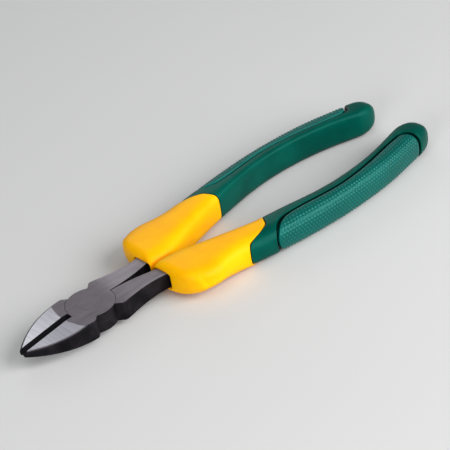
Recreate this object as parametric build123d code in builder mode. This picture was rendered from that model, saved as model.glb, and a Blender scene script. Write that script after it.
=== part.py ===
"""Side-cutting pliers: two lapped forged halves turning on a flush rivet, with two-part moulded grips.

Frame: +X along the pliers towards the jaw tips, +Z up through the joint, +Y across.
The origin is on the rivet's axis at the lower flat face of the joint.
The jaws are closed. "near" pieces lie on the +Y side of the handles, "far" pieces on the -Y side.
"""

from build123d import *
import os

os.makedirs("parts", exist_ok=True)

# Reach of the cutting shapes, well past the pliers, in millimetres
cut_reach = 200.0

# Joint and forged halves
joint_radius = 10.0
head_thickness = 8.2
mid_height = head_thickness / 2
lap_gap = 0.04
recess_clearance = 0.15
hub_half_length = 3.0
closed_gap = 0.05
edge_break = 0.35

# Jaws
tip_x = 34.4
tip_half_width = 2.4
tip_corner = 0.7
jaw_half_width = 11.4
groove_start_x = 10.3
groove_half_width = 1.6
cutting_land = 0.35
bevel_overrun = 2.0
grind_centre_x = -12.2
grind_start_radius = 25.6
grind_drop_at_tip = 2.8
grind_overrun = 2.0
jaw_edge_radius = 1.2

# Rivet
rivet_radius = 4.0
rivet_head_radius = 4.8
rivet_head_height = 0.8
running_clearance = 0.05

# Tangs inside the grips
hidden_from_x = -34.0
tang_hidden_thickness = 6.0
tang_taper_start_x = -11.0
tang_taper_drop = 0.8

# Grips
grip_height = 13.4
grip_bottom = mid_height - grip_height / 2
grip_edge_radius = 4.0
collar_front_x = -31.5
seam_half_gap = 0.15
inlay_depth = 1.6
inlay_groove = 0.3


def half_outline():
    """Plan outlines of the far jaw and the near tang, as one sketch."""
    with BuildSketch() as outline:
        with BuildLine():
            jaw_side = Spline(
                (tip_x - tip_corner, -tip_half_width),
                (27.3, -7.0),
                (20.2, -10.1),
                (13.5, -jaw_half_width),
                (7.2, -11.4),
            )
            Polyline(
                jaw_side @ 1,
                (6.1, -11.1),
                (3.9, -9.0),
                (hub_half_length, -7.0),
                (hub_half_length, -closed_gap),
                (tip_x, -closed_gap),
                (tip_x, -tip_half_width + tip_corner),
                jaw_side @ 0,
            )
        make_face()
        with BuildLine():
            inner_side = Spline(
                (-10.6, closed_gap),
                (-20.0, 0.8),
                (-31.0, 3.0),
                (-57.0, 12.0),
                (-81.0, 17.0),
                (-115.0, 20.9),
                (-150.0, 16.4),
            )
            outer_side = Spline(
                (-151.0, 21.4),
                (-115.0, 26.8),
                (-81.0, 23.2),
                (-57.0, 18.6),
                (-42.0, 12.6),
                (-27.0, 9.0),
                (-17.0, 9.6),
                (-9.6, 11.0),
            )
            ThreePointArc(inner_side @ 1, (-153.4, 18.6), outer_side @ 0)
            Polyline(
                outer_side @ 1,
                (-7.8, 10.8),
                (-6.2, 9.2),
                (-hub_half_length, 6.6),
                (-hub_half_length, closed_gap),
                inner_side @ 0,
            )
        make_face()
    return outline.sketch


def grip_block(inset=0.0):
    """The whole near grip as one moulded shape, with its sides, top and bottom moved inwards by the inset."""
    front_x = collar_front_x - inset
    with BuildPart() as block:
        with BuildSketch(Plane.XY.offset(grip_bottom + inset)):
            with BuildLine():
                inner_side = Spline(
                    (-40.0, seam_half_gap + inset),
                    (-57.0, 5.8 + inset),
                    (-81.0, 13.0 + inset),
                    (-115.0, 18.4 + inset),
                    (-145.0, 15.0 + inset),
                    (-162.0, 9.4 + inset),
                )
                outer_side = Spline(
                    (-164.0, 22.5 - inset),
                    (-140.0, 27.4 - inset),
                    (-112.0, 29.3 - inset),
                    (-81.0, 27.1 - inset),
                    (-67.0, 25.4 - inset),
                    (-55.0, 22.5 - inset),
                    (-45.5, 24.1 - inset),
                    (-37.0, 22.6 - inset),
                    (-32.6 - inset, 18.6 - inset),
                )
                ThreePointArc(inner_side @ 1, (-171.6 + inset, 15.4), outer_side @ 0)
                Polyline(
                    outer_side @ 1,
                    (front_x, 15.0 - inset),
                    (front_x, seam_half_gap + inset),
                    inner_side @ 0,
                )
            make_face()
        extrude(amount=grip_height - 2 * inset)
        levels = block.edges().group_by(Axis.Z)
        fillet(levels[0] + levels[-1], grip_edge_radius - inset)
    return block.part


def is_jaw_side_edge(edge):
    """True for the long edges along the outer side of the far jaw."""
    return edge.length > 20.0 and edge.center().X > jaw_half_width and edge.center().Y < -tip_half_width * 2


def is_tang_edge(edge):
    """True for the long edges of the tang between the joint and the grip."""
    return 20.0 < edge.length < 30.0 and edge.center().X < -joint_radius


# Lower half: far jaw, lower lap disc and near tang
with BuildPart() as lower_half:
    add(half_outline())
    extrude(amount=head_thickness)
    with BuildSketch(Plane.XY.offset(mid_height - lap_gap / 2)):
        Circle(joint_radius + recess_clearance)
    extrude(amount=head_thickness, mode=Mode.SUBTRACT)
    with BuildSketch():
        Circle(joint_radius)
    extrude(amount=mid_height - lap_gap / 2)
    # The ground jaw faces are cones about an upright axis behind the joint
    grind_end_radius = tip_x - grind_centre_x + grind_overrun
    grind_slope = grind_drop_at_tip / (tip_x - grind_centre_x - grind_start_radius)
    grind_end_drop = grind_slope * (grind_end_radius - grind_start_radius)
    with BuildSketch(Plane.YZ.offset(grind_centre_x)):
        Polygon(
            (grind_start_radius, head_thickness),
            (grind_end_radius, head_thickness - grind_end_drop),
            (grind_end_radius, head_thickness),
            align=None,
        )
        Polygon(
            (grind_start_radius, 0),
            (grind_end_radius, grind_end_drop),
            (grind_end_radius, 0),
            align=None,
        )
    revolve(axis=Axis((grind_centre_x, 0, 0), (0, 0, -1)), revolution_arc=180, mode=Mode.SUBTRACT)
    # The tang thins towards the grip
    with BuildSketch(Plane.XZ):
        for face_z, drop in ((head_thickness, tang_taper_drop), (0.0, -tang_taper_drop)):
            Polygon(
                (tang_taper_start_x, face_z),
                (hidden_from_x, face_z - drop),
                (-cut_reach, face_z - drop),
                (-cut_reach, face_z),
                align=None,
            )
    extrude(amount=cut_reach, both=True, mode=Mode.SUBTRACT)
    # Rounded outer edges of the jaw, and broken edges along the tang
    fillet(lower_half.edges().filter_by(is_jaw_side_edge), jaw_edge_radius)
    fillet(lower_half.edges().filter_by(is_tang_edge), edge_break)
    # Bevels of the cutting edges, above and below
    for side in (1, -1):
        for station_x, drop in ((groove_start_x, 0.0), (tip_x + closed_gap, grind_drop_at_tip)):
            edge_z = mid_height + side * cutting_land
            face_z = mid_height + side * (mid_height - drop)
            with BuildSketch(Plane.YZ.offset(station_x)):
                Polygon(
                    (bevel_overrun, edge_z),
                    (-closed_gap, edge_z),
                    (-groove_half_width, face_z),
                    (-groove_half_width, face_z + side * bevel_overrun),
                    (bevel_overrun, face_z + side * bevel_overrun),
                    align=None,
                )
        loft(mode=Mode.SUBTRACT)
    # The tang is thinner inside the grip
    for level in (0.0, (head_thickness + tang_hidden_thickness) / 2):
        with BuildSketch(Plane.XY.offset(level)):
            with Locations((hidden_from_x, 0)):
                Rectangle(cut_reach, cut_reach, align=(Align.MAX, Align.CENTER))
        extrude(amount=(head_thickness - tang_hidden_thickness) / 2, mode=Mode.SUBTRACT)
    # The rivet is pressed into this half
    with BuildSketch():
        Circle(rivet_radius)
    extrude(amount=head_thickness, mode=Mode.SUBTRACT)
    with BuildSketch(Plane.XZ):
        Polygon(
            (0, 0),
            (rivet_head_radius, 0),
            (rivet_radius, rivet_head_height),
            (0, rivet_head_height),
            align=None,
        )
    revolve(axis=Axis.Z, mode=Mode.SUBTRACT)

# Upper half: the same forging turned over, with a running hole for the rivet
with BuildPart() as upper_half:
    add(lower_half.part.rotate(Axis((0, 0, mid_height), (1, 0, 0)), 180))
    with BuildSketch():
        Circle(rivet_radius + running_clearance)
    extrude(amount=head_thickness, mode=Mode.SUBTRACT)
    with BuildSketch(Plane.XZ):
        Polygon(
            (0, head_thickness),
            (rivet_head_radius + running_clearance, head_thickness),
            (rivet_radius + running_clearance, head_thickness - rivet_head_height - running_clearance),
            (0, head_thickness - rivet_head_height - running_clearance),
            align=None,
        )
    revolve(axis=Axis.Z, mode=Mode.SUBTRACT)

# Rivet, both heads ground flush with the joint's faces
with BuildPart() as pivot_rivet:
    with BuildSketch(Plane.XZ):
        Polygon(
            (0, 0),
            (rivet_head_radius, 0),
            (rivet_radius, rivet_head_height),
            (rivet_radius, head_thickness - rivet_head_height),
            (rivet_head_radius, head_thickness),
            (0, head_thickness),
            align=None,
        )
    revolve(axis=Axis.Z)


def collar_region():
    """Plan region of the near collar: its rear edge is a tongue on the inside and cut back on the outside."""
    with BuildSketch() as region:
        with BuildLine():
            rear_edge = Spline(
                (-80.0, 9.0),
                (-78.8, 14.0),
                (-75.2, 19.4),
                (-66.5, 22.6),
                (-60.6, 26.6),
                (-60.0, 33.0),
            )
            Polyline(rear_edge @ 1, (0, 33.0), (0, -2.0), (-80.0, -2.0), rear_edge @ 0)
        make_face()
    return region.sketch


def inlay_region(gap=0.0):
    """Plan region of the near inlay, grown outwards by the gap."""
    with BuildSketch() as region:
        with BuildLine():
            edge = Spline(
                (-75.8 + gap, 33.0),
                (-75.8 + gap, 27.0),
                (-79.3 + gap, 24.0 - gap),
                (-86.5, 21.6 - gap),
                (-95.0, 21.3 - gap),
                (-104.0, 22.3 - gap),
                (-115.0, 23.0 - gap),
                (-125.0, 22.4 - gap),
                (-135.0, 20.8 - gap),
                (-147.0, 18.3 - gap),
                (-155.0, 17.3 - gap),
                (-160.0 - gap, 19.3 - gap),
                (-161.8 - gap, 24.0),
                (-161.8 - gap, 33.0),
            )
            Line(edge @ 1, edge @ 0)
        make_face()
    return region.sketch


# Near collar, moulded round the tang behind the joint
with BuildPart() as near_collar:
    add(grip_block())
    add(collar_region())
    extrude(amount=cut_reach, both=True, mode=Mode.INTERSECT)
    add(lower_half.part, mode=Mode.SUBTRACT)

# Near sleeve, with a pocket for the inlay
with BuildPart() as inlay_pocket:
    add(grip_block())
    add(inlay_region(inlay_groove))
    extrude(amount=cut_reach, both=True, mode=Mode.INTERSECT)
    add(grip_block(inlay_depth), mode=Mode.SUBTRACT)
with BuildPart() as near_sleeve:
    add(grip_block())
    add(collar_region())
    extrude(amount=cut_reach, both=True, mode=Mode.SUBTRACT)
    add(lower_half.part, mode=Mode.SUBTRACT)
    add(inlay_pocket.part, mode=Mode.SUBTRACT)

# Near inlay, the textured pad on the outside of the grip
with BuildPart() as near_inlay:
    add(grip_block())
    add(inlay_region())
    extrude(amount=cut_reach, both=True, mode=Mode.INTERSECT)
    add(grip_block(inlay_depth), mode=Mode.SUBTRACT)

# The far grip is the near one mirrored
with BuildPart() as far_collar:
    mirror(near_collar.part, about=Plane.XZ)
with BuildPart() as far_sleeve:
    mirror(near_sleeve.part, about=Plane.XZ)
with BuildPart() as far_inlay:
    mirror(near_inlay.part, about=Plane.XZ)

pieces = {
    "lower_half": lower_half,
    "upper_half": upper_half,
    "pivot_rivet": pivot_rivet,
    "near_collar": near_collar,
    "far_collar": far_collar,
    "near_sleeve": near_sleeve,
    "far_sleeve": far_sleeve,
    "near_inlay": near_inlay,
    "far_inlay": far_inlay,
}
for name, piece in pieces.items():
    piece.part.label = name
    export_step(piece.part, f"parts/{name}.step")
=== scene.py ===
"""Looks of the side-cutting pliers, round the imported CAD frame: moulded grips, dotted inlays and ground steel.

The grips are worked out in millimetres and turned into metres when their meshes are made. Materials, lights
and the camera are in metres.
"""

import math

import bmesh
import bpy
import numpy as np
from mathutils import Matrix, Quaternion, Vector


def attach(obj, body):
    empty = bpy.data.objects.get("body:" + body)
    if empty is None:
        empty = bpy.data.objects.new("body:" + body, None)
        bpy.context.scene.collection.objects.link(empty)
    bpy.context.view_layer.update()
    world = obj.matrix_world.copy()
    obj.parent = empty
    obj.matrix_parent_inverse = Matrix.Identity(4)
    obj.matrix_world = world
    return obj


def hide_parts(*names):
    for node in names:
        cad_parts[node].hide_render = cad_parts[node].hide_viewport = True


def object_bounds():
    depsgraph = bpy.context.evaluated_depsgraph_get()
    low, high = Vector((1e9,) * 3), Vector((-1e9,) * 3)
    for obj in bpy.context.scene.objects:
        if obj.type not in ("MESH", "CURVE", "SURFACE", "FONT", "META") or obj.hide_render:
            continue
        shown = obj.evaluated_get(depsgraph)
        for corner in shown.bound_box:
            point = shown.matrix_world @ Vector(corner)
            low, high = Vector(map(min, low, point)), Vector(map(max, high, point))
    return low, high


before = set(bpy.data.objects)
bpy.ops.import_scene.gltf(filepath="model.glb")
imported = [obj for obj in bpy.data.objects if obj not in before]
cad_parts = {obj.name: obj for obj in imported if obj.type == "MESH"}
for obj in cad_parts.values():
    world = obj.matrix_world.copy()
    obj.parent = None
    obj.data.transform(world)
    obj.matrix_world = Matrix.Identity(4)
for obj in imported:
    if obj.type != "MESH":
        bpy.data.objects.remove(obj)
cad_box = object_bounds()

MM = 0.001

# ---------------------------------------------------------------- sizes of the grips, in millimetres
# Middle and half height of the section, front of the collar, start of the rounded end cap, and its end
MID_Z = 4.1
HALF_HEIGHT = 6.6
FRONT_X = -31.5
CAP_X = -160.0
END_X = -171.5
# Length over which the collar's front is rounded, and what is added on its outer side and low on that side
FRONT_ROUNDING = 3.0
OUTER_ROUNDING = 2.2
FRONT_TUCK = 4.0
TUCK_SHARE = 0.9
# Half the gap between the two collars
SEAM_GAP = 0.15

# The near grip in plan: its inner and outer sides, from the front of the collar to where the end cap starts
INNER_SIDE = [
    (-31.5, 0.15),
    (-40.0, 0.3),
    (-57.0, 5.9),
    (-81.0, 13.0),
    (-115.0, 18.4),
    (-145.0, 14.9),
    (-160.0, 10.2),
]
OUTER_SIDE = [
    (-31.5, 17.0),
    (-33.5, 20.8),
    (-37.5, 24.0),
    (-45.0, 25.8),
    (-52.0, 24.7),
    (-58.0, 24.2),
    (-67.0, 25.8),
    (-81.0, 27.3),
    (-112.0, 29.15),
    (-140.0, 27.4),
    (-160.0, 23.5),
]
# The end cap: how far its middle moves inwards, and its squareness in plan and in height
CAP_DRIFT = 1.0
CAP_SQUARENESS = 2.4
CAP_HEIGHT_SQUARENESS = 2.8

# Squareness of the four quarters of the section: 2 is an ellipse, higher is squarer
OUTER_TOP = [
    (-31.5, 4.4),
    (-40.0, 3.8),
    (-56.0, 3.6),
    (-68.0, 2.6),
    (-90.0, 2.5),
    (-160.0, 2.6),
    (-171.6, 2.6),
]
OUTER_BOTTOM = [
    (-31.5, 1.7),
    (-48.0, 1.75),
    (-54.0, 2.3),
    (-60.0, 2.9),
    (-80.0, 3.0),
    (-160.0, 3.0),
    (-171.6, 2.8),
]
INNER_TOP = [(-31.5, 3.4), (-76.0, 3.4), (-92.0, 7.0), (-150.0, 7.0), (-163.0, 4.0), (-171.6, 2.8)]
INNER_BOTTOM = [(-31.5, 4.0), (-90.0, 4.5), (-160.0, 4.0), (-171.6, 2.8)]

# Rear edge of the collar: its x at each distance across the handle, and where and how finely it is looked for
COLLAR_REAR = [
    (9.0, -80.2),
    (14.0, -79.2),
    (17.0, -77.6),
    (19.6, -75.7),
    (21.6, -71.2),
    (23.0, -65.6),
    (25.0, -62.2),
    (29.0, -60.6),
]
COLLAR_REAR_RANGE = (-86.0, -56.0)
HALVINGS = 30
# Joint between collar and sleeve: half its gap, its edges' rounding, its walls' depth, and the least part of
# its sideways direction along x that is reckoned with where it runs lengthwise
JOINT_GAP = 0.14
EDGE_ROUND = 0.35
WALL_DEPTH = 1.6
LEAST_LEAN = 0.5
# The sleeve lies a little below the collar's skin, fully in front of STEP_X and less and less behind it
STEP_DOWN = 0.3
STEP_X = -62.0
STEP_FADE = 30.0

# Pad (the inlay) and its pocket on the outside of the sleeve: distance across the handle of their upper edge
PAD_EDGE = [
    (-60.0, 20.6),
    (-76.0, 20.6),
    (-86.0, 20.9),
    (-95.0, 21.3),
    (-104.0, 22.4),
    (-115.0, 23.1),
    (-125.0, 22.4),
    (-135.0, 20.8),
    (-147.0, 18.2),
    (-155.0, 16.8),
    (-171.6, 15.0),
]
PAD_FRONT_X = -75.8
PAD_REAR_X = -161.8
PAD_FRONT_BOW = 12.0
PAD_REAR_BOW = 5.5
# The groove round the pad, the pocket's depth, the free space under the pad, how far the pad's skin lies below
# the sleeve's, and the rounding of both edges
PAD_GROOVE = 1.15
PAD_DEPTH = 1.7
PAD_BED = 0.15
PAD_SUNK = 0.22
PAD_ROUND = 0.45
# The shares of the way round that the upper edge is looked for in, and the most it may reach
PAD_SHARES = np.linspace(0.02, 0.36, 160)
PAD_MOST_SHARE = 0.4
# The stations at which it is looked for, and the width of the window that smooths it
PAD_STATIONS = np.linspace(END_X + 4.0, -58.0, 90)
PAD_WINDOW = 9
# The rows beside the pocket start this much behind its front corner, except near its border, and reach that
# length within this share of the way round
SWELL_LENGTH = 9.0
SWELL_SHARE = 0.14
# The pad's dots: their spacing and height, the flat border without them, and the waves' level and sharpness
DOT_PITCH = 1.35
DOT_HEIGHT = 0.27
DOT_FADE = 1.0
DOT_BASE = 0.6
DOT_SHARPNESS = 1.2

# Mouth of the collar round the tang
MOUTH_CENTRE_Y = 6.15
MOUTH_HALF_WIDTH = 5.15
MOUTH_HALF_HEIGHT = 3.7
MOUTH_SQUARENESS = 8.0
MOUTH_DEPTH = 7.0
MOUTH_LIP = 0.2

# Fineness of the meshes
AROUND = 144
SECTION_SAMPLES = 720
ALONG_GRIP = 530
ALONG_CAP = 60
COLLAR_ROWS = 110
FRONT_ROWS = 14
FRONT_SLEEVE_ROWS = 30
MIDDLE_SLEEVE_ROWS = 240
REAR_SLEEVE_ROWS = 44
SLEEVE_PAD_COLUMNS = 49
SLEEVE_REST_COLUMNS = 101
PAD_ROWS = 340
PAD_COLUMNS = 97
PAD_CROWDING = 0.3
FAN_ROWS = 5
RIM_ROWS = 5
WELD = 2e-6
SLIVER = 1e-7
SHARP_ANGLE = math.radians(50)


def curve(points):
    """A smooth function through the points, by cubic pieces."""
    px, py = np.array(sorted(points), float).T
    slope = np.gradient(py, px)

    def value(x):
        i = np.clip(np.searchsorted(px, x) - 1, 0, len(px) - 2)
        h = px[i + 1] - px[i]
        t = np.clip((x - px[i]) / h, 0.0, 1.0)
        start = (1 + 2 * t) * (1 - t) ** 2 * py[i] + t * (1 - t) ** 2 * h * slope[i]
        return start + t * t * (3 - 2 * t) * py[i + 1] + t * t * (t - 1) * h * slope[i + 1]

    return value


def ramp(points):
    """A function through the points, by straight pieces."""
    px, py = np.array(sorted(points), float).T
    return lambda x: np.interp(x, px, py)


inner_side, outer_side = curve(INNER_SIDE), curve(OUTER_SIDE)
collar_rear, pad_edge = curve(COLLAR_REAR), curve(PAD_EDGE)
squareness = [ramp(points) for points in (OUTER_TOP, OUTER_BOTTOM, INNER_TOP, INNER_BOTTOM)]


def unit(vectors):
    return vectors / np.maximum(np.linalg.norm(vectors, axis=-1, keepdims=True), 1e-9)


class GripSurface:
    """The outside of the near grip. A point on it is given by x and by a, the distance round the section.

    a starts at the outermost line and goes up over the top, down the inner side and back along the bottom.
    """

    def __init__(self):
        cap = np.linspace(0.0, math.pi / 2, ALONG_CAP)[1:]
        self.x = np.concatenate([
            np.linspace(FRONT_X, CAP_X, ALONG_GRIP),
            CAP_X + (END_X - CAP_X) * np.sin(cap),
        ])[::-1]
        angle = np.linspace(0.0, 2 * math.pi, SECTION_SAMPLES + 1)
        self.points = np.array([self.section(x, angle) for x in self.x])
        step = np.linalg.norm(np.diff(self.points, axis=1), axis=2)
        self.along = np.concatenate([np.zeros((len(self.x), 1)), np.cumsum(step, axis=1)], axis=1)

    def section(self, x, angle):
        y_in, y_out = max(float(inner_side(x)), SEAM_GAP), float(outer_side(x))
        height = HALF_HEIGHT
        centre, width = (y_in + y_out) / 2, (y_out - y_in) / 2
        if x < CAP_X:
            t = min((CAP_X - x) / (CAP_X - END_X), 1.0)
            y_in, y_out = float(inner_side(CAP_X)), float(outer_side(CAP_X))
            centre = (y_in + y_out) / 2 - CAP_DRIFT * t * (2 - t)
            width = (y_out - y_in) / 2 * (1 - t**CAP_SQUARENESS) ** (1 / CAP_SQUARENESS)
            height = HALF_HEIGHT * (1 - t**CAP_HEIGHT_SQUARENESS) ** (1 / CAP_HEIGHT_SQUARENESS)
        c, s = np.cos(angle), np.sin(angle)
        outer_top, outer_bottom, inner_top, inner_bottom = (2 / square(x) for square in squareness)
        quarters = [(c >= 0) & (s >= 0), (c < 0) & (s >= 0), (c < 0) & (s < 0)]
        power = np.select(quarters, [outer_top, inner_top, inner_bottom], outer_bottom)
        y = centre + width * np.sign(c) * np.abs(c) ** power
        z = MID_Z + height * np.sign(s) * np.abs(s) ** power
        return np.stack([np.full_like(y, x), y, z], axis=1)

    def girth(self, x):
        """The distance all round the section at x."""
        return np.interp(x, self.x, self.along[:, -1])

    def at(self, x, share):
        """Points at x and at a share of the way round, for arrays of the same shape."""
        x, share = np.broadcast_arrays(np.asarray(x, float), np.asarray(share, float))
        flat_x, flat_share = np.clip(x.ravel(), self.x[0], self.x[-1]), np.mod(share.ravel(), 1.0)
        low = np.clip(np.searchsorted(self.x, flat_x) - 1, 0, len(self.x) - 2)
        mix = (flat_x - self.x[low]) / (self.x[low + 1] - self.x[low])
        found = np.zeros((len(flat_x), 3))
        for station in np.unique(np.concatenate([low, low + 1])):
            line, points = self.along[station], self.points[station]
            for side, weight in ((0, 1 - mix), (1, mix)):
                here = low + side == station
                if here.any():
                    a = flat_share[here] * line[-1]
                    value = np.stack([np.interp(a, line, points[:, k]) for k in range(3)], axis=1)
                    found[here] += weight[here, None] * value
        found[:, 0] = flat_x
        return found.reshape(x.shape + (3,))

    def normal(self, x, share):
        """Outward unit normals."""
        dx, ds = 0.15, 0.004
        along = self.at(np.minimum(x + dx, FRONT_X), share) - self.at(np.maximum(x - dx, END_X), share)
        around = self.at(x, share + ds) - self.at(x, share - ds)
        return unit(np.cross(around, along))

    def lifted(self, x, share, lift):
        """Points moved outwards, square to the surface, by the lift."""
        return self.at(x, share) + np.asarray(lift)[..., None] * self.normal(x, share)


surface = GripSurface()


def collar_edge(share_at):
    """x of the collar's rear edge, for columns whose share of the way round is a function of x."""
    columns = share_at(np.array(CAP_X)).shape
    low, high = (np.full(columns, end) for end in COLLAR_REAR_RANGE)
    for _ in range(HALVINGS):
        middle = (low + high) / 2
        ahead = middle > collar_rear(surface.at(middle, share_at(middle))[..., 1])
        low, high = np.where(ahead, low, middle), np.where(ahead, middle, high)
    return (low + high) / 2


def pad_share(x):
    """Shares of the way round at which the pad's upper edge lies."""
    grid = surface.at(x[:, None], PAD_SHARES[None, :])[..., 1]
    above = grid <= pad_edge(x)[:, None]
    first = np.argmax(above, axis=1)
    return PAD_SHARES[np.where(above.any(axis=1), first, len(PAD_SHARES) - 1)]


rough_reach = pad_share(PAD_STATIONS) * surface.girth(PAD_STATIONS)
window = np.hanning(PAD_WINDOW) / np.hanning(PAD_WINDOW).sum()
smooth_reach = np.convolve(np.pad(rough_reach, PAD_WINDOW // 2, mode="edge"), window, mode="valid")


def pad_reach(x):
    """Distance round the section from the outermost line to the pad's upper edge."""
    return np.interp(x, PAD_STATIONS, smooth_reach)


def pad_end(w, gap, front):
    """x of the pad's front or rear edge, for w from -1 at its lower edge to 1 at its upper edge."""
    bow = 1 - np.sqrt(np.maximum(1 - w * w, 0.0))
    if front:
        return PAD_FRONT_X + gap - PAD_FRONT_BOW * bow
    return PAD_REAR_X - gap + PAD_REAR_BOW * bow


def pad_columns(count):
    """w values, closer together towards both edges."""
    return np.sin(np.linspace(-math.pi / 2, math.pi / 2, count))


# ---------------------------------------------------------------- mesh making
class Build:
    """Collects patches of points, then joins them into one closed mesh."""

    def __init__(self):
        self.points, self.faces, self.count = [], [], 0

    def patch(self, points, closed=False):
        """Adds a grid of points, whose rows are rings if it is closed."""
        rows, columns = points.shape[:2]
        index = self.count + np.arange(rows * columns).reshape(rows, columns)
        if closed:
            index = np.concatenate([index, index[:, :1]], axis=1)
        corners = [index[:-1, :-1], index[:-1, 1:], index[1:, 1:], index[1:, :-1]]
        self.points.append(points.reshape(-1, 3))
        self.faces.append(np.stack(corners, axis=-1).reshape(-1, 4))
        self.count += rows * columns

    def piece(self, name, mirrored, material):
        """Joins the patches into an object. A mirrored one is for the far grip."""
        points = np.concatenate(self.points) * MM
        if mirrored:
            points[:, 1] *= -1
        mesh = bpy.data.meshes.new(name)
        mesh.from_pydata(points.tolist(), [], np.concatenate(self.faces).tolist())
        made = bmesh.new()
        made.from_mesh(mesh)
        bmesh.ops.remove_doubles(made, verts=made.verts, dist=WELD)
        bmesh.ops.dissolve_degenerate(made, edges=made.edges, dist=SLIVER)
        bmesh.ops.recalc_face_normals(made, faces=made.faces)
        made.to_mesh(mesh)
        made.free()
        mesh.polygons.foreach_set("use_smooth", [True] * len(mesh.polygons))
        mesh.set_sharp_from_angle(angle=SHARP_ANGLE)
        mesh.materials.append(material)
        obj = bpy.data.objects.new(name, mesh)
        bpy.context.scene.collection.objects.link(obj)
        return obj


def rim(edge, side, normal, radius, depth, lift=0.0):
    """Rows that round an edge over and go down beside it. side points out of the piece, along its surface."""
    rows = []
    for angle in np.linspace(0.0, math.pi / 2, RIM_ROWS):
        out, down = radius * math.sin(angle), radius * (1 - math.cos(angle))
        rows.append(edge + out * side - (down - lift) * normal)
    rows.append(edge + radius * side - (depth - lift) * normal)
    return np.array(rows)


def loop_side(loop, normal):
    """Unit vectors square to a closed line of points and to the surface's normals."""
    return unit(np.cross(normal, np.roll(loop, -1, axis=0) - np.roll(loop, 1, axis=0)))


def fan(ring):
    """Rows that close a ring, by shrinking it to its centre."""
    centre = ring.mean(axis=0)
    return np.array([centre + (ring - centre) * s for s in np.linspace(1.0, 0.0, FAN_ROWS)])


def smoothstep(t):
    t = np.clip(t, 0.0, 1.0)
    return t * t * (3 - 2 * t)


def sleeve_drop(x):
    """How far the sleeve's skin lies below the collar's."""
    return STEP_DOWN * smoothstep((x - STEP_X + STEP_FADE) / STEP_FADE)


def skin(x, share, lift=0.0):
    """Points of the skin of the sleeve and its pad."""
    x, share = np.broadcast_arrays(x, share)
    return surface.lifted(x, share, lift - sleeve_drop(x))


def ring_side(x, share, drop=0.0):
    """The points of a closed ring, its outward normals, and unit vectors along the surface towards +X."""
    ring, normal = surface.lifted(x, share, -drop), surface.normal(x, share)
    return ring, normal, loop_side(ring, normal)


def set_back(x, share):
    """How far each rounded edge of a joint that runs through the ring is from it, along x."""
    side = ring_side(x, share)[2]
    return (JOINT_GAP + EDGE_ROUND) / np.maximum(np.abs(side[:, 0]), LEAST_LEAN)


def mouth_ring(x, shares, grow=0.0):
    """Points of the rounded mouth round the tang, made larger by grow, at shares of the way round it."""
    angle = np.linspace(0.0, 2 * math.pi, SECTION_SAMPLES + 1)
    c, s = np.cos(angle), np.sin(angle)
    power = 2 / MOUTH_SQUARENESS
    y = MOUTH_CENTRE_Y + (MOUTH_HALF_WIDTH + grow) * np.sign(c) * np.abs(c) ** power
    z = MID_Z + (MOUTH_HALF_HEIGHT + grow) * np.sign(s) * np.abs(s) ** power
    along = np.concatenate([[0.0], np.cumsum(np.hypot(np.diff(y), np.diff(z)))])
    at = shares * along[-1]
    return np.stack([np.full_like(shares, x), np.interp(at, along, y), np.interp(at, along, z)], axis=1)


def collar_piece(name, mirrored, material):
    """The yellow collar, from its mouth round the tang back to the sleeve."""
    shares = np.arange(AROUND) / AROUND
    edge = collar_edge(lambda x: shares)
    back = edge + set_back(edge, shares)
    build = Build()
    # The body, from where its front starts to round
    outerness = (1 + np.cos(2 * math.pi * shares)) / 2
    tuck = np.maximum(np.cos(2 * math.pi * (shares - TUCK_SHARE)), 0.0) ** 2
    depth = FRONT_ROUNDING + OUTER_ROUNDING * outerness + FRONT_TUCK * tuck
    f = np.linspace(0.0, 1.0, COLLAR_ROWS)[:, None]
    build.patch(surface.at(FRONT_X - depth + (back - FRONT_X + depth) * f, shares[None, :]), closed=True)
    # The front, rounded all the way to the mouth, and the mouth
    full = surface.at(FRONT_X - depth, shares)
    mouth = mouth_ring(FRONT_X, shares)
    rows = []
    for angle in np.linspace(0.0, math.pi / 2, FRONT_ROWS):
        row = mouth + (full - mouth) * math.cos(angle)
        row[:, 0] = FRONT_X - depth * (1 - math.sin(angle))
        rows.append(row)
    for fold in np.linspace(0.0, math.pi / 2, 4)[1:]:
        lip_x = FRONT_X - MOUTH_LIP * (1 - math.cos(fold))
        rows.append(mouth_ring(lip_x, shares, -MOUTH_LIP * math.sin(fold)))
    rows.append(mouth_ring(FRONT_X - MOUTH_DEPTH, shares, -MOUTH_LIP))
    build.patch(np.array(rows), closed=True)
    build.patch(fan(rows[-1]), closed=True)
    # Rear edge and what the sleeve hides
    ring, normal, side = ring_side(back, shares)
    rows = rim(ring, -side, normal, EDGE_ROUND, WALL_DEPTH)
    build.patch(rows, closed=True)
    build.patch(fan(rows[-1]), closed=True)
    return build.piece(name, mirrored, material)


def pad_border_share(x, gap):
    """Share of the way round of the pad's border, moved outwards by the gap."""
    return np.minimum((pad_reach(x) + gap) / np.maximum(surface.girth(x), 1.0), PAD_MOST_SHARE)


def pad_grid(rows, w, gap):
    """x and share of a grid that covers the pad's outline, moved outwards by the gap."""
    front, rear = pad_end(w, gap, True), pad_end(w, gap, False)
    x = front + (rear - front) * rows[:, None]
    return x, w * pad_border_share(x, gap)


def border_loop(x, share):
    """The border of a grid as a closed line of (x, share): front edge, upper side, rear edge, lower side."""
    def line(grid):
        return np.concatenate([grid[0, :-1], grid[:-1, -1], grid[-1, :0:-1], grid[:0:-1, 0]])
    return line(x), line(share)


def put_border(grid, line):
    """Replaces a grid's border by the points of a line that runs as border_loop does."""
    rows, columns = grid.shape[:2]
    parts = np.split(line, np.cumsum([columns - 1, rows - 1, columns - 1]))
    grid[0, :-1], grid[:-1, -1], grid[-1, :0:-1], grid[:0:-1, 0] = parts
    return grid


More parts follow.
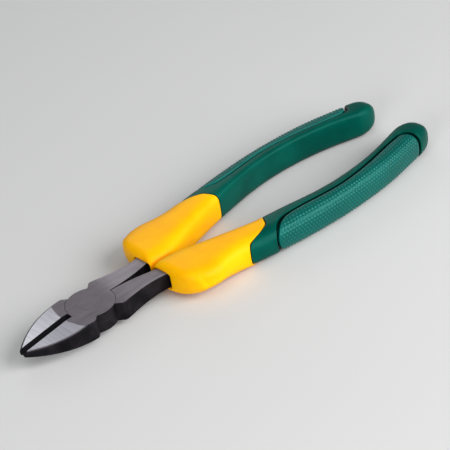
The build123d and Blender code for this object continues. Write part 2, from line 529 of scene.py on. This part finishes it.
def sleeve_piece(name, mirrored, material):
    """The green sleeve, from the collar to its closed rear end, with the pocket of the pad."""
    gap = PAD_GROOVE / 2 + PAD_ROUND
    w = pad_columns(SLEEVE_PAD_COLUMNS)
    v = np.linspace(0.0, 1.0, SLEEVE_REST_COLUMNS)

    def zone_share(x):
        return w * pad_border_share(x, gap)

    def rest_share(x):
        border = pad_border_share(x, gap)
        return border + (1 - 2 * border) * v

    def ring_share(zone_x, rest_x):
        return np.concatenate([zone_share(zone_x)[:-1], rest_share(rest_x)[:-1]])

    # The front edge as a ring, first along the pad's columns and then along the rest
    zone_edge, rest_edge = collar_edge(zone_share), collar_edge(rest_share)
    edge_x = np.concatenate([zone_edge[:-1], rest_edge[:-1]])
    edge_x = edge_x - set_back(edge_x, ring_share(zone_edge, rest_edge))
    zone_edge = edge_x[: len(w)]
    rest_edge = np.concatenate([edge_x[len(w) - 1:], edge_x[:1]])
    edge_share = ring_share(zone_edge, rest_edge)
    front_corner, rear_corner = (float(pad_end(np.array(1.0), gap, front)) for front in (True, False))
    build = Build()
    # Between the collar and the pocket
    f = np.linspace(0.0, 1.0, FRONT_SLEEVE_ROWS)[:, None]
    x = zone_edge + (pad_end(w, gap, True) - zone_edge) * f
    build.patch(skin(x, zone_share(x)))
    swell = smoothstep(np.minimum(v, 1 - v) / SWELL_SHARE)
    first = front_corner - SWELL_LENGTH * swell
    x = rest_edge + (first - rest_edge) * f
    build.patch(skin(x, rest_share(x)))
    # Beside the pocket
    rows = np.linspace(0.0, 1.0, MIDDLE_SLEEVE_ROWS)
    x = first + (rear_corner - first) * rows[:, None]
    build.patch(skin(x, rest_share(x)))
    # Behind the pocket, and the closed end
    g = np.sin(np.linspace(0.0, math.pi / 2, REAR_SLEEVE_ROWS))[:, None]
    for start, share_at in ((pad_end(w, gap, False), zone_share), (rear_corner, rest_share)):
        x = start + (END_X - start) * g
        build.patch(skin(x, share_at(x)))
    # The pocket's rounded edge, wall and floor
    x, share = pad_grid(rows, w, gap)
    line_x, line_share = border_loop(x, share)
    line, normal = skin(line_x, line_share), surface.normal(line_x, line_share)
    wall = rim(line, -loop_side(line, normal), normal, PAD_ROUND, PAD_DEPTH)
    build.patch(wall, closed=True)
    build.patch(put_border(skin(x, share, -PAD_DEPTH), wall[-1]))
    # Front edge, which the collar hides
    ring, normal, side = ring_side(edge_x, edge_share, sleeve_drop(edge_x))
    wall = rim(ring, side, normal, EDGE_ROUND, WALL_DEPTH)
    build.patch(wall, closed=True)
    build.patch(fan(wall[-1]), closed=True)
    return build.piece(name, mirrored, material)


def pad_piece(name, mirrored, material):
    """The soft pad in the sleeve's pocket, covered with small raised dots."""
    gap = -PAD_GROOVE / 2 - PAD_ROUND
    rows = np.linspace(0.0, 1.0, PAD_ROWS)
    t = np.linspace(-1.0, 1.0, PAD_COLUMNS)
    w = (1 - PAD_CROWDING) * t + PAD_CROWDING * np.sin(t * math.pi / 2)
    x, share = pad_grid(rows, w, gap)
    girth = surface.girth(x)
    across = share * girth
    # Rounded dots in a triangular lattice: the tops of three crossing waves
    phase = 2 * math.pi / DOT_PITCH
    waves = sum(np.cos(phase * (x * math.cos(k) + across * math.sin(k))) for k in np.radians((30, 90, 150)))
    dots = DOT_HEIGHT * np.clip((waves + DOT_BASE) / (3 + DOT_BASE), 0.0, 1.0) ** DOT_SHARPNESS
    from_side = (1 - np.abs(w)) * pad_border_share(x, gap) * girth
    from_end = np.minimum(pad_end(w, gap, True) - x, x - pad_end(w, gap, False))
    dots *= smoothstep(np.minimum(from_side, from_end) / DOT_FADE)
    build = Build()
    build.patch(skin(x, share, dots - PAD_SUNK))
    line_x, line_share = border_loop(x, share)
    line, normal = skin(line_x, line_share), surface.normal(line_x, line_share)
    wall = rim(line, loop_side(line, normal), normal, PAD_ROUND, PAD_DEPTH - PAD_BED, -PAD_SUNK)
    build.patch(wall, closed=True)
    build.patch(put_border(skin(x, share, PAD_BED - PAD_DEPTH - PAD_SUNK), wall[-1]))
    return build.piece(name, mirrored, material)


# ---------------------------------------------------------------- materials
NOISE_ROUGHNESS = 0.55
# Painted shade: open share of the surroundings at which it is full, at which it ends, and the rays that find it
SHADE_FULL, SHADE_END, SHADE_SAMPLES = 0.4, 0.98, 8
# Noise scales of the mouldings: clouds of colour, specks, handling marks and dimples
CLOUDS, SPECKS, MARKS, DIMPLES = 55.0, 2600.0, 160.0, 240.0


class Material:
    """A node material, built by adding nodes whose inputs are values or other nodes' outputs."""

    def __init__(self, name):
        self.made = bpy.data.materials.new(name)
        self.made.use_nodes = True
        self.tree = self.made.node_tree
        self.tree.nodes.clear()
        self.place = self.add("ShaderNodeTexCoord")

    def add(self, kind, inputs=None, **settings):
        node = self.tree.nodes.new(kind)
        for key, value in settings.items():
            setattr(node, key, value)
        for key, value in (inputs or {}).items():
            socket = node.inputs[key]
            if isinstance(value, bpy.types.NodeSocket):
                self.tree.links.new(value, socket)
            else:
                socket.default_value = value
        return node

    def math(self, operation, a, b=0.0):
        return self.add("ShaderNodeMath", {0: a, 1: b}, operation=operation).outputs[0]

    def mix(self, share, a, b):
        return self.add("ShaderNodeMix", {0: share, 6: a, 7: b}, data_type="RGBA").outputs[2]

    def between(self, value, low, high, to_low=0.0, to_high=1.0):
        """The value mapped smoothly from low..high to to_low..to_high."""
        inputs = {"Value": value, "From Min": low, "From Max": high, "To Min": to_low, "To Max": to_high}
        return self.add("ShaderNodeMapRange", inputs, interpolation_type="SMOOTHSTEP").outputs[0]

    def stretched(self, scale, turn=0.0):
        """Object coordinates, scaled differently along each axis and turned about Z."""
        inputs = {"Vector": self.place.outputs["Object"], "Scale": scale, "Rotation": (0.0, 0.0, turn)}
        return self.add("ShaderNodeMapping", inputs).outputs[0]

    def upright(self, normal):
        """How far a normal points up or down the object: 1 straight up or down, 0 level."""
        turned = self.add("ShaderNodeVectorTransform", {0: normal}, vector_type="NORMAL",
                          convert_from="WORLD", convert_to="OBJECT")
        return self.math("ABSOLUTE", self.add("ShaderNodeSeparateXYZ", {0: turned.outputs[0]}).outputs[2])

    def noise(self, scale, detail, vector=None):
        vector = vector or self.place.outputs["Object"]
        inputs = {"Vector": vector, "Scale": scale, "Detail": detail, "Roughness": NOISE_ROUGHNESS}
        return self.add("ShaderNodeTexNoise", inputs).outputs["Fac"]

    def bump(self, height, distance, strength, normal=None):
        inputs = {"Height": height, "Distance": distance, "Strength": strength}
        if normal is not None:
            inputs["Normal"] = normal
        return self.add("ShaderNodeBump", inputs).outputs[0]

    def with_painted_shade(self, tone, shade, reach):
        """The tone with painted shade: darkened where the surface is closed in within the reach."""
        occlusion = self.add("ShaderNodeAmbientOcclusion", {"Distance": reach}, samples=SHADE_SAMPLES)
        return self.mix(self.between(occlusion.outputs["AO"], SHADE_FULL, SHADE_END), shade, tone)

    def finish(self, **inputs):
        """Ends the material with a Principled shader, whose inputs are named in lower case."""
        named = {key.replace("_", " ").title().replace("Ior", "IOR"): value for key, value in inputs.items()}
        shader = self.add("ShaderNodeBsdfPrincipled", named)
        self.add("ShaderNodeOutputMaterial", {"Surface": shader.outputs[0]})
        return self.made


def colour(red, green, blue):
    """A linear colour from display values of 0 to 255."""
    def linear(value):
        value /= 255
        return value / 12.92 if value <= 0.04045 else ((value + 0.055) / 1.055) ** 2.4
    return (linear(red), linear(green), linear(blue), 1.0)


def moulded(name, light, dark, speck, roughness, grain):
    """Starts a moulded plastic or rubber: cloudy colour, fine specks, a fine grain and a few handling marks.

    Gives the material with its colour, roughness and bumped normal.
    """
    m = Material(name)
    clouds = m.noise(CLOUDS, 4.0)
    tone = m.mix(m.between(clouds, 0.35, 0.68), dark, light)
    specks = m.between(m.noise(SPECKS, 2.0), 0.66, 0.78)
    tone = m.mix(m.math("MULTIPLY", specks, 0.35), tone, speck)
    marks = m.between(m.noise(MARKS, 5.0, m.stretched((0.35, 1.0, 1.0), 0.2)), 0.56, 0.74)
    rough = m.between(clouds, 0.3, 0.7, roughness - 0.05, roughness + 0.06)
    rough = m.math("ADD", rough, m.math("MULTIPLY", marks, -0.07))
    height = m.math("ADD", m.noise(grain, 3.0), m.math("MULTIPLY", m.noise(DIMPLES, 3.0), 0.8))
    return m, tone, rough, m.bump(height, 0.00006, 0.55)


def collar_material():
    m, tone, rough, bump = moulded(
        "collar_yellow", colour(250, 184, 0), colour(245, 171, 0), colour(252, 203, 16), 0.4, 3200.0)
    # Painted shade: deeper orange where the surface is closed in, such as the mouth and the joint with the
    # sleeve
    tone = m.with_painted_shade(tone, colour(236, 144, 0), 0.0025)
    return m.finish(base_color=tone, roughness=rough, normal=bump, subsurface_weight=0.1,
                    subsurface_scale=0.0015, specular_ior_level=0.07)


def sleeve_material():
    m, tone, rough, bump = moulded(
        "sleeve_green", colour(0, 78, 67), colour(0, 64, 55), colour(0, 96, 83), 0.33, 2600.0)
    # Painted shade: near-black green where the surface is closed in, such as the pad's groove
    tone = m.with_painted_shade(tone, colour(0, 24, 21), 0.002)
    return m.finish(base_color=tone, roughness=rough, normal=bump, specular_ior_level=0.1,
                    specular_tint=(0.25, 1.0, 0.88, 1.0))


def pad_material():
    m, tone, rough, bump = moulded(
        "inlay_green", colour(0, 102, 93), colour(0, 87, 79), colour(0, 120, 110), 0.34, 3000.0)
    # Painted shade: near-black green where the surface is closed in, such as the groove round the pad
    tone = m.with_painted_shade(tone, colour(0, 22, 20), 0.0012)
    # Painted shade between the dots: the mesh's hollows get a darker green, the dots' tops keep the tone
    gap_shade_pointiness = m.add("ShaderNodeNewGeometry").outputs["Pointiness"]
    tone = m.mix(m.between(gap_shade_pointiness, 0.47, 0.55), colour(0, 70, 64), tone)
    return m.finish(base_color=tone, roughness=rough, normal=bump, specular_ior_level=0.36,
                    specular_tint=(0.3, 1.0, 0.92, 1.0))


# Where the ground faces of the jaws start: a circle in plan, with a slightly ragged and soft edge
GRIND_CENTRE_X = -0.0122
GRIND_RADIUS = 0.0256
GRIND_RAGGED = 0.0006
GRIND_EDGE = (GRIND_RADIUS - 0.0002, GRIND_RADIUS + 0.0003)
# The bevels of the cutting edges, coloured near-black and matte
SLOT_REACH_Y = 0.0018
SLOT_START_X = 0.0095
# Painted light: ground faces brighter from the joint back to the tangs, and from the jaws' roots to their tips
JOINT_REAR_X = -0.006
TANG_FROM_X = -0.018
JAW_ROOT_X = 0.0125
JAW_TIP_X = 0.031
JOINT_LEVEL = 106
# How upright a normal is on a level face, and where grey and bright ground faces fade in and bevels end
LEVEL_FROM = 0.995
FLAT_RANGE = (0.72, 0.96)
JAW_FACE_RANGE = (0.94, 0.985)
BEVEL_BELOW = 0.96
# Noise scales of the steel: grinding lines, streaks on the jaws, blotches on the sides, stains, edge and grain
LINES, STREAKS, BLOTCHES, STAINS, RAGGED, GRAIN = 60.0, 42.0, 130.0, 90.0, 420.0, 1500.0


def steel_material(name, grain_turn, tang_lit_level, root_lit_level, tip_lit_level):
    """Forged steel with dark sides and ground faces, and painted light: tangs and jaws brighter away from the
    joint.

    The levels, painted light, are display values of the ground tang and of the jaw's face at its root and tip.
    """
    m = Material(name)

    def face_tone(grain, level, spread, tint):
        low, high = (colour(*(level + step + part for part in tint)) for step in (-spread, spread))
        return m.mix(m.between(grain, 0.3, 0.7), low, high)

    place = m.add("ShaderNodeSeparateXYZ", {0: m.place.outputs["Object"]})
    x, y = place.outputs[0], place.outputs[1]
    # Level faces take their own normals, because smooth ones bend along the mesh's long triangles
    geometry = m.add("ShaderNodeNewGeometry")
    smooth, own = geometry.outputs["Normal"], geometry.outputs["True Normal"]
    is_level = m.math("GREATER_THAN", m.upright(own), LEVEL_FROM)
    normal = m.add("ShaderNodeMix", {0: is_level, 4: smooth, 5: own}, data_type="VECTOR").outputs[1]
    upright = m.upright(normal)
    flat = m.between(upright, *FLAT_RANGE)
    # The jaws' ground faces and the bevels between them
    from_centre = m.math("SUBTRACT", x, GRIND_CENTRE_X)
    radius = m.math("SQRT", m.math("ADD", m.math("POWER", from_centre, 2.0), m.math("POWER", y, 2.0)))
    ragged = m.math("MULTIPLY", m.math("SUBTRACT", m.noise(RAGGED, 3.0), 0.5), GRIND_RAGGED)
    jaw = m.math("MULTIPLY", m.between(upright, *JAW_FACE_RANGE),
                 m.between(m.math("ADD", radius, ragged), *GRIND_EDGE))
    slot = m.math("MULTIPLY", m.math("LESS_THAN", m.math("ABSOLUTE", y), SLOT_REACH_Y),
                  m.math("GREATER_THAN", x, SLOT_START_X))
    slot = m.math("MULTIPLY", slot, m.math("LESS_THAN", upright, BEVEL_BELOW))
    # Colour
    lines = m.noise(LINES, 4.0, m.stretched((1.0, 34.0, 4.0), grain_turn))
    streaks = m.noise(STREAKS, 5.0, m.stretched((26.0, 1.2, 4.0), -grain_turn))
    side = m.mix(m.between(m.noise(BLOTCHES, 4.0), 0.35, 0.7), colour(14, 13, 16), colour(34, 31, 35))
    # Painted light: the tangs' ground faces lighter than the joint's, by a level that differs between the two
    # halves
    joint, tang = (face_tone(lines, level, 10, (0, -5, 1)) for level in (JOINT_LEVEL, tang_lit_level))
    ground = m.mix(m.between(x, TANG_FROM_X, JOINT_REAR_X), tang, joint)
    ground = m.mix(m.between(m.noise(STAINS, 4.0), 0.5, 0.75, 0.0, 0.5), ground, colour(96, 89, 92))
    # The jaws' faces: partly real polished ground steel, partly painted reflection in levels that rise from root
    # to tip
    root, tip = (face_tone(streaks, level, 9, (0, -1, 7)) for level in (root_lit_level, tip_lit_level))
    bright = m.mix(m.between(x, JAW_ROOT_X, JAW_TIP_X), root, tip)
    tone = m.mix(slot, m.mix(jaw, m.mix(flat, side, ground), bright), colour(14, 13, 16))
    # Surface
    rough = m.math("ADD", m.between(flat, 0.0, 1.0, 0.5, 0.54), m.math("MULTIPLY", jaw, -0.03))
    rough = m.math("ADD", rough, m.between(streaks, 0.3, 0.7, -0.03, 0.03))
    rough = m.math("ADD", rough, m.math("MULTIPLY", slot, 0.3))
    metal = m.math("MULTIPLY", m.math("SUBTRACT", 1.0, slot), m.between(flat, 0.0, 1.0, 0.3, 0.35))
    height = m.math("ADD", m.math("MULTIPLY", lines, 0.5), m.math("MULTIPLY", m.noise(GRAIN, 3.0), 0.4))
    bump = m.bump(height, 0.00004, m.between(jaw, 0.0, 1.0, 0.5, 0.12), normal)
    return m.finish(base_color=tone, metallic=metal, roughness=rough, normal=bump, specular_ior_level=0.15,
                    specular_tint=(0.4, 0.4, 0.42, 1.0))


# ---------------------------------------------------------------- the object
collar_yellow, sleeve_green, inlay_green = collar_material(), sleeve_material(), pad_material()
for hand, mirrored, body in (("near", False, "lower_handle"), ("far", True, "upper_handle")):
    for kind, make, slot, material in (
        ("collar", collar_piece, "collar_plastic", collar_yellow),
        ("sleeve", sleeve_piece, "sleeve_rubber", sleeve_green),
        ("inlay", pad_piece, "inlay_rubber", inlay_green),
    ):
        piece = make(f"{hand}_{kind}_moulding", mirrored, material)
        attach(piece, body)
        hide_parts(f"{hand}_{kind}")

# Each half gets its own levels of painted light on one steel; the rivet keeps the joint's level
for node, material in (
    ("lower_half", steel_material("lower_steel", 0.25, 123, 186, 214)),
    ("upper_half", steel_material("upper_steel", -0.25, 140, 154, 182)),
    ("pivot_rivet", steel_material("rivet_steel", 0.25, JOINT_LEVEL, JOINT_LEVEL, JOINT_LEVEL)),
):
    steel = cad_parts[node]
    steel.data.materials.clear()
    steel.data.materials.append(material)


# ---------------------------------------------------------------- studio
FLOOR_SIZE = 6.0
LIT_POINT = Vector((-0.07, 0.0, 0.0))
SURROUND_COLOUR = (0.9, 0.92, 0.95, 1.0)
SURROUND_STRENGTH = 0.24
CAMERA_PLACE = Vector((0.3374, 0.5488, 0.4436))
CAMERA_AIM = Vector((-0.0719, -0.00164, 0.0041))
CAMERA_ROLL = math.radians(-10.06)
LENS_LENGTH = 160.0
SENSOR_WIDTH = 36.0


def floor():
    """A plain pale floor under the pliers."""
    bpy.ops.mesh.primitive_plane_add(size=FLOOR_SIZE, location=(0.0, 0.0, cad_box[0].z))
    plane = bpy.context.object
    plane.name = "floor"
    m = Material("floor_pale")
    tone = m.mix(m.noise(3.0, 2.0), (0.60, 0.60, 0.595, 1.0), (0.64, 0.64, 0.635, 1.0))
    plane.data.materials.append(m.finish(base_color=tone, roughness=0.9, specular_ior_level=0.1))


def area_light(name, place, size, power):
    """A round lamp aimed at the pliers' middle."""
    lamp = bpy.data.lights.new(name, "AREA")
    lamp.shape, lamp.size, lamp.energy = "DISK", size, power
    obj = bpy.data.objects.new(name, lamp)
    obj.location = place
    obj.rotation_euler = (LIT_POINT - Vector(place)).to_track_quat("-Z", "Y").to_euler()
    bpy.context.scene.collection.objects.link(obj)


def studio():
    """Soft light from a broad key at the handles' side, from above, from past the jaws and from behind."""
    area_light("key", (-0.47, 0.8, 0.45), 1.0, 15.0)
    area_light("top", (0.1, 0.1, 1.1), 1.0, 2.2)
    area_light("fill", (0.95, 0.5, 0.35), 0.6, 7.0)
    area_light("back", (-0.48, -0.8, 0.46), 0.5, 1.2)
    world = bpy.data.worlds.new("surround")
    world.use_nodes = True
    background = world.node_tree.nodes["Background"].inputs
    background["Color"].default_value = SURROUND_COLOUR
    background["Strength"].default_value = SURROUND_STRENGTH
    bpy.context.scene.world = world
    bpy.context.scene.view_settings.view_transform = "Standard"


def camera():
    """A long lens from the jaws' near side, a little rolled."""
    lens = bpy.data.cameras.new("camera")
    lens.lens, lens.sensor_width = LENS_LENGTH, SENSOR_WIDTH
    lens.clip_start, lens.clip_end = 0.01, 20.0
    obj = bpy.data.objects.new("camera", lens)
    obj.location = CAMERA_PLACE
    obj.rotation_mode = "QUATERNION"
    look = (CAMERA_AIM - CAMERA_PLACE).to_track_quat("-Z", "Y")
    obj.rotation_quaternion = look @ Quaternion((0.0, 0.0, 1.0), CAMERA_ROLL)
    bpy.context.scene.collection.objects.link(obj)
    bpy.context.scene.camera = obj


floor()
studio()
camera()
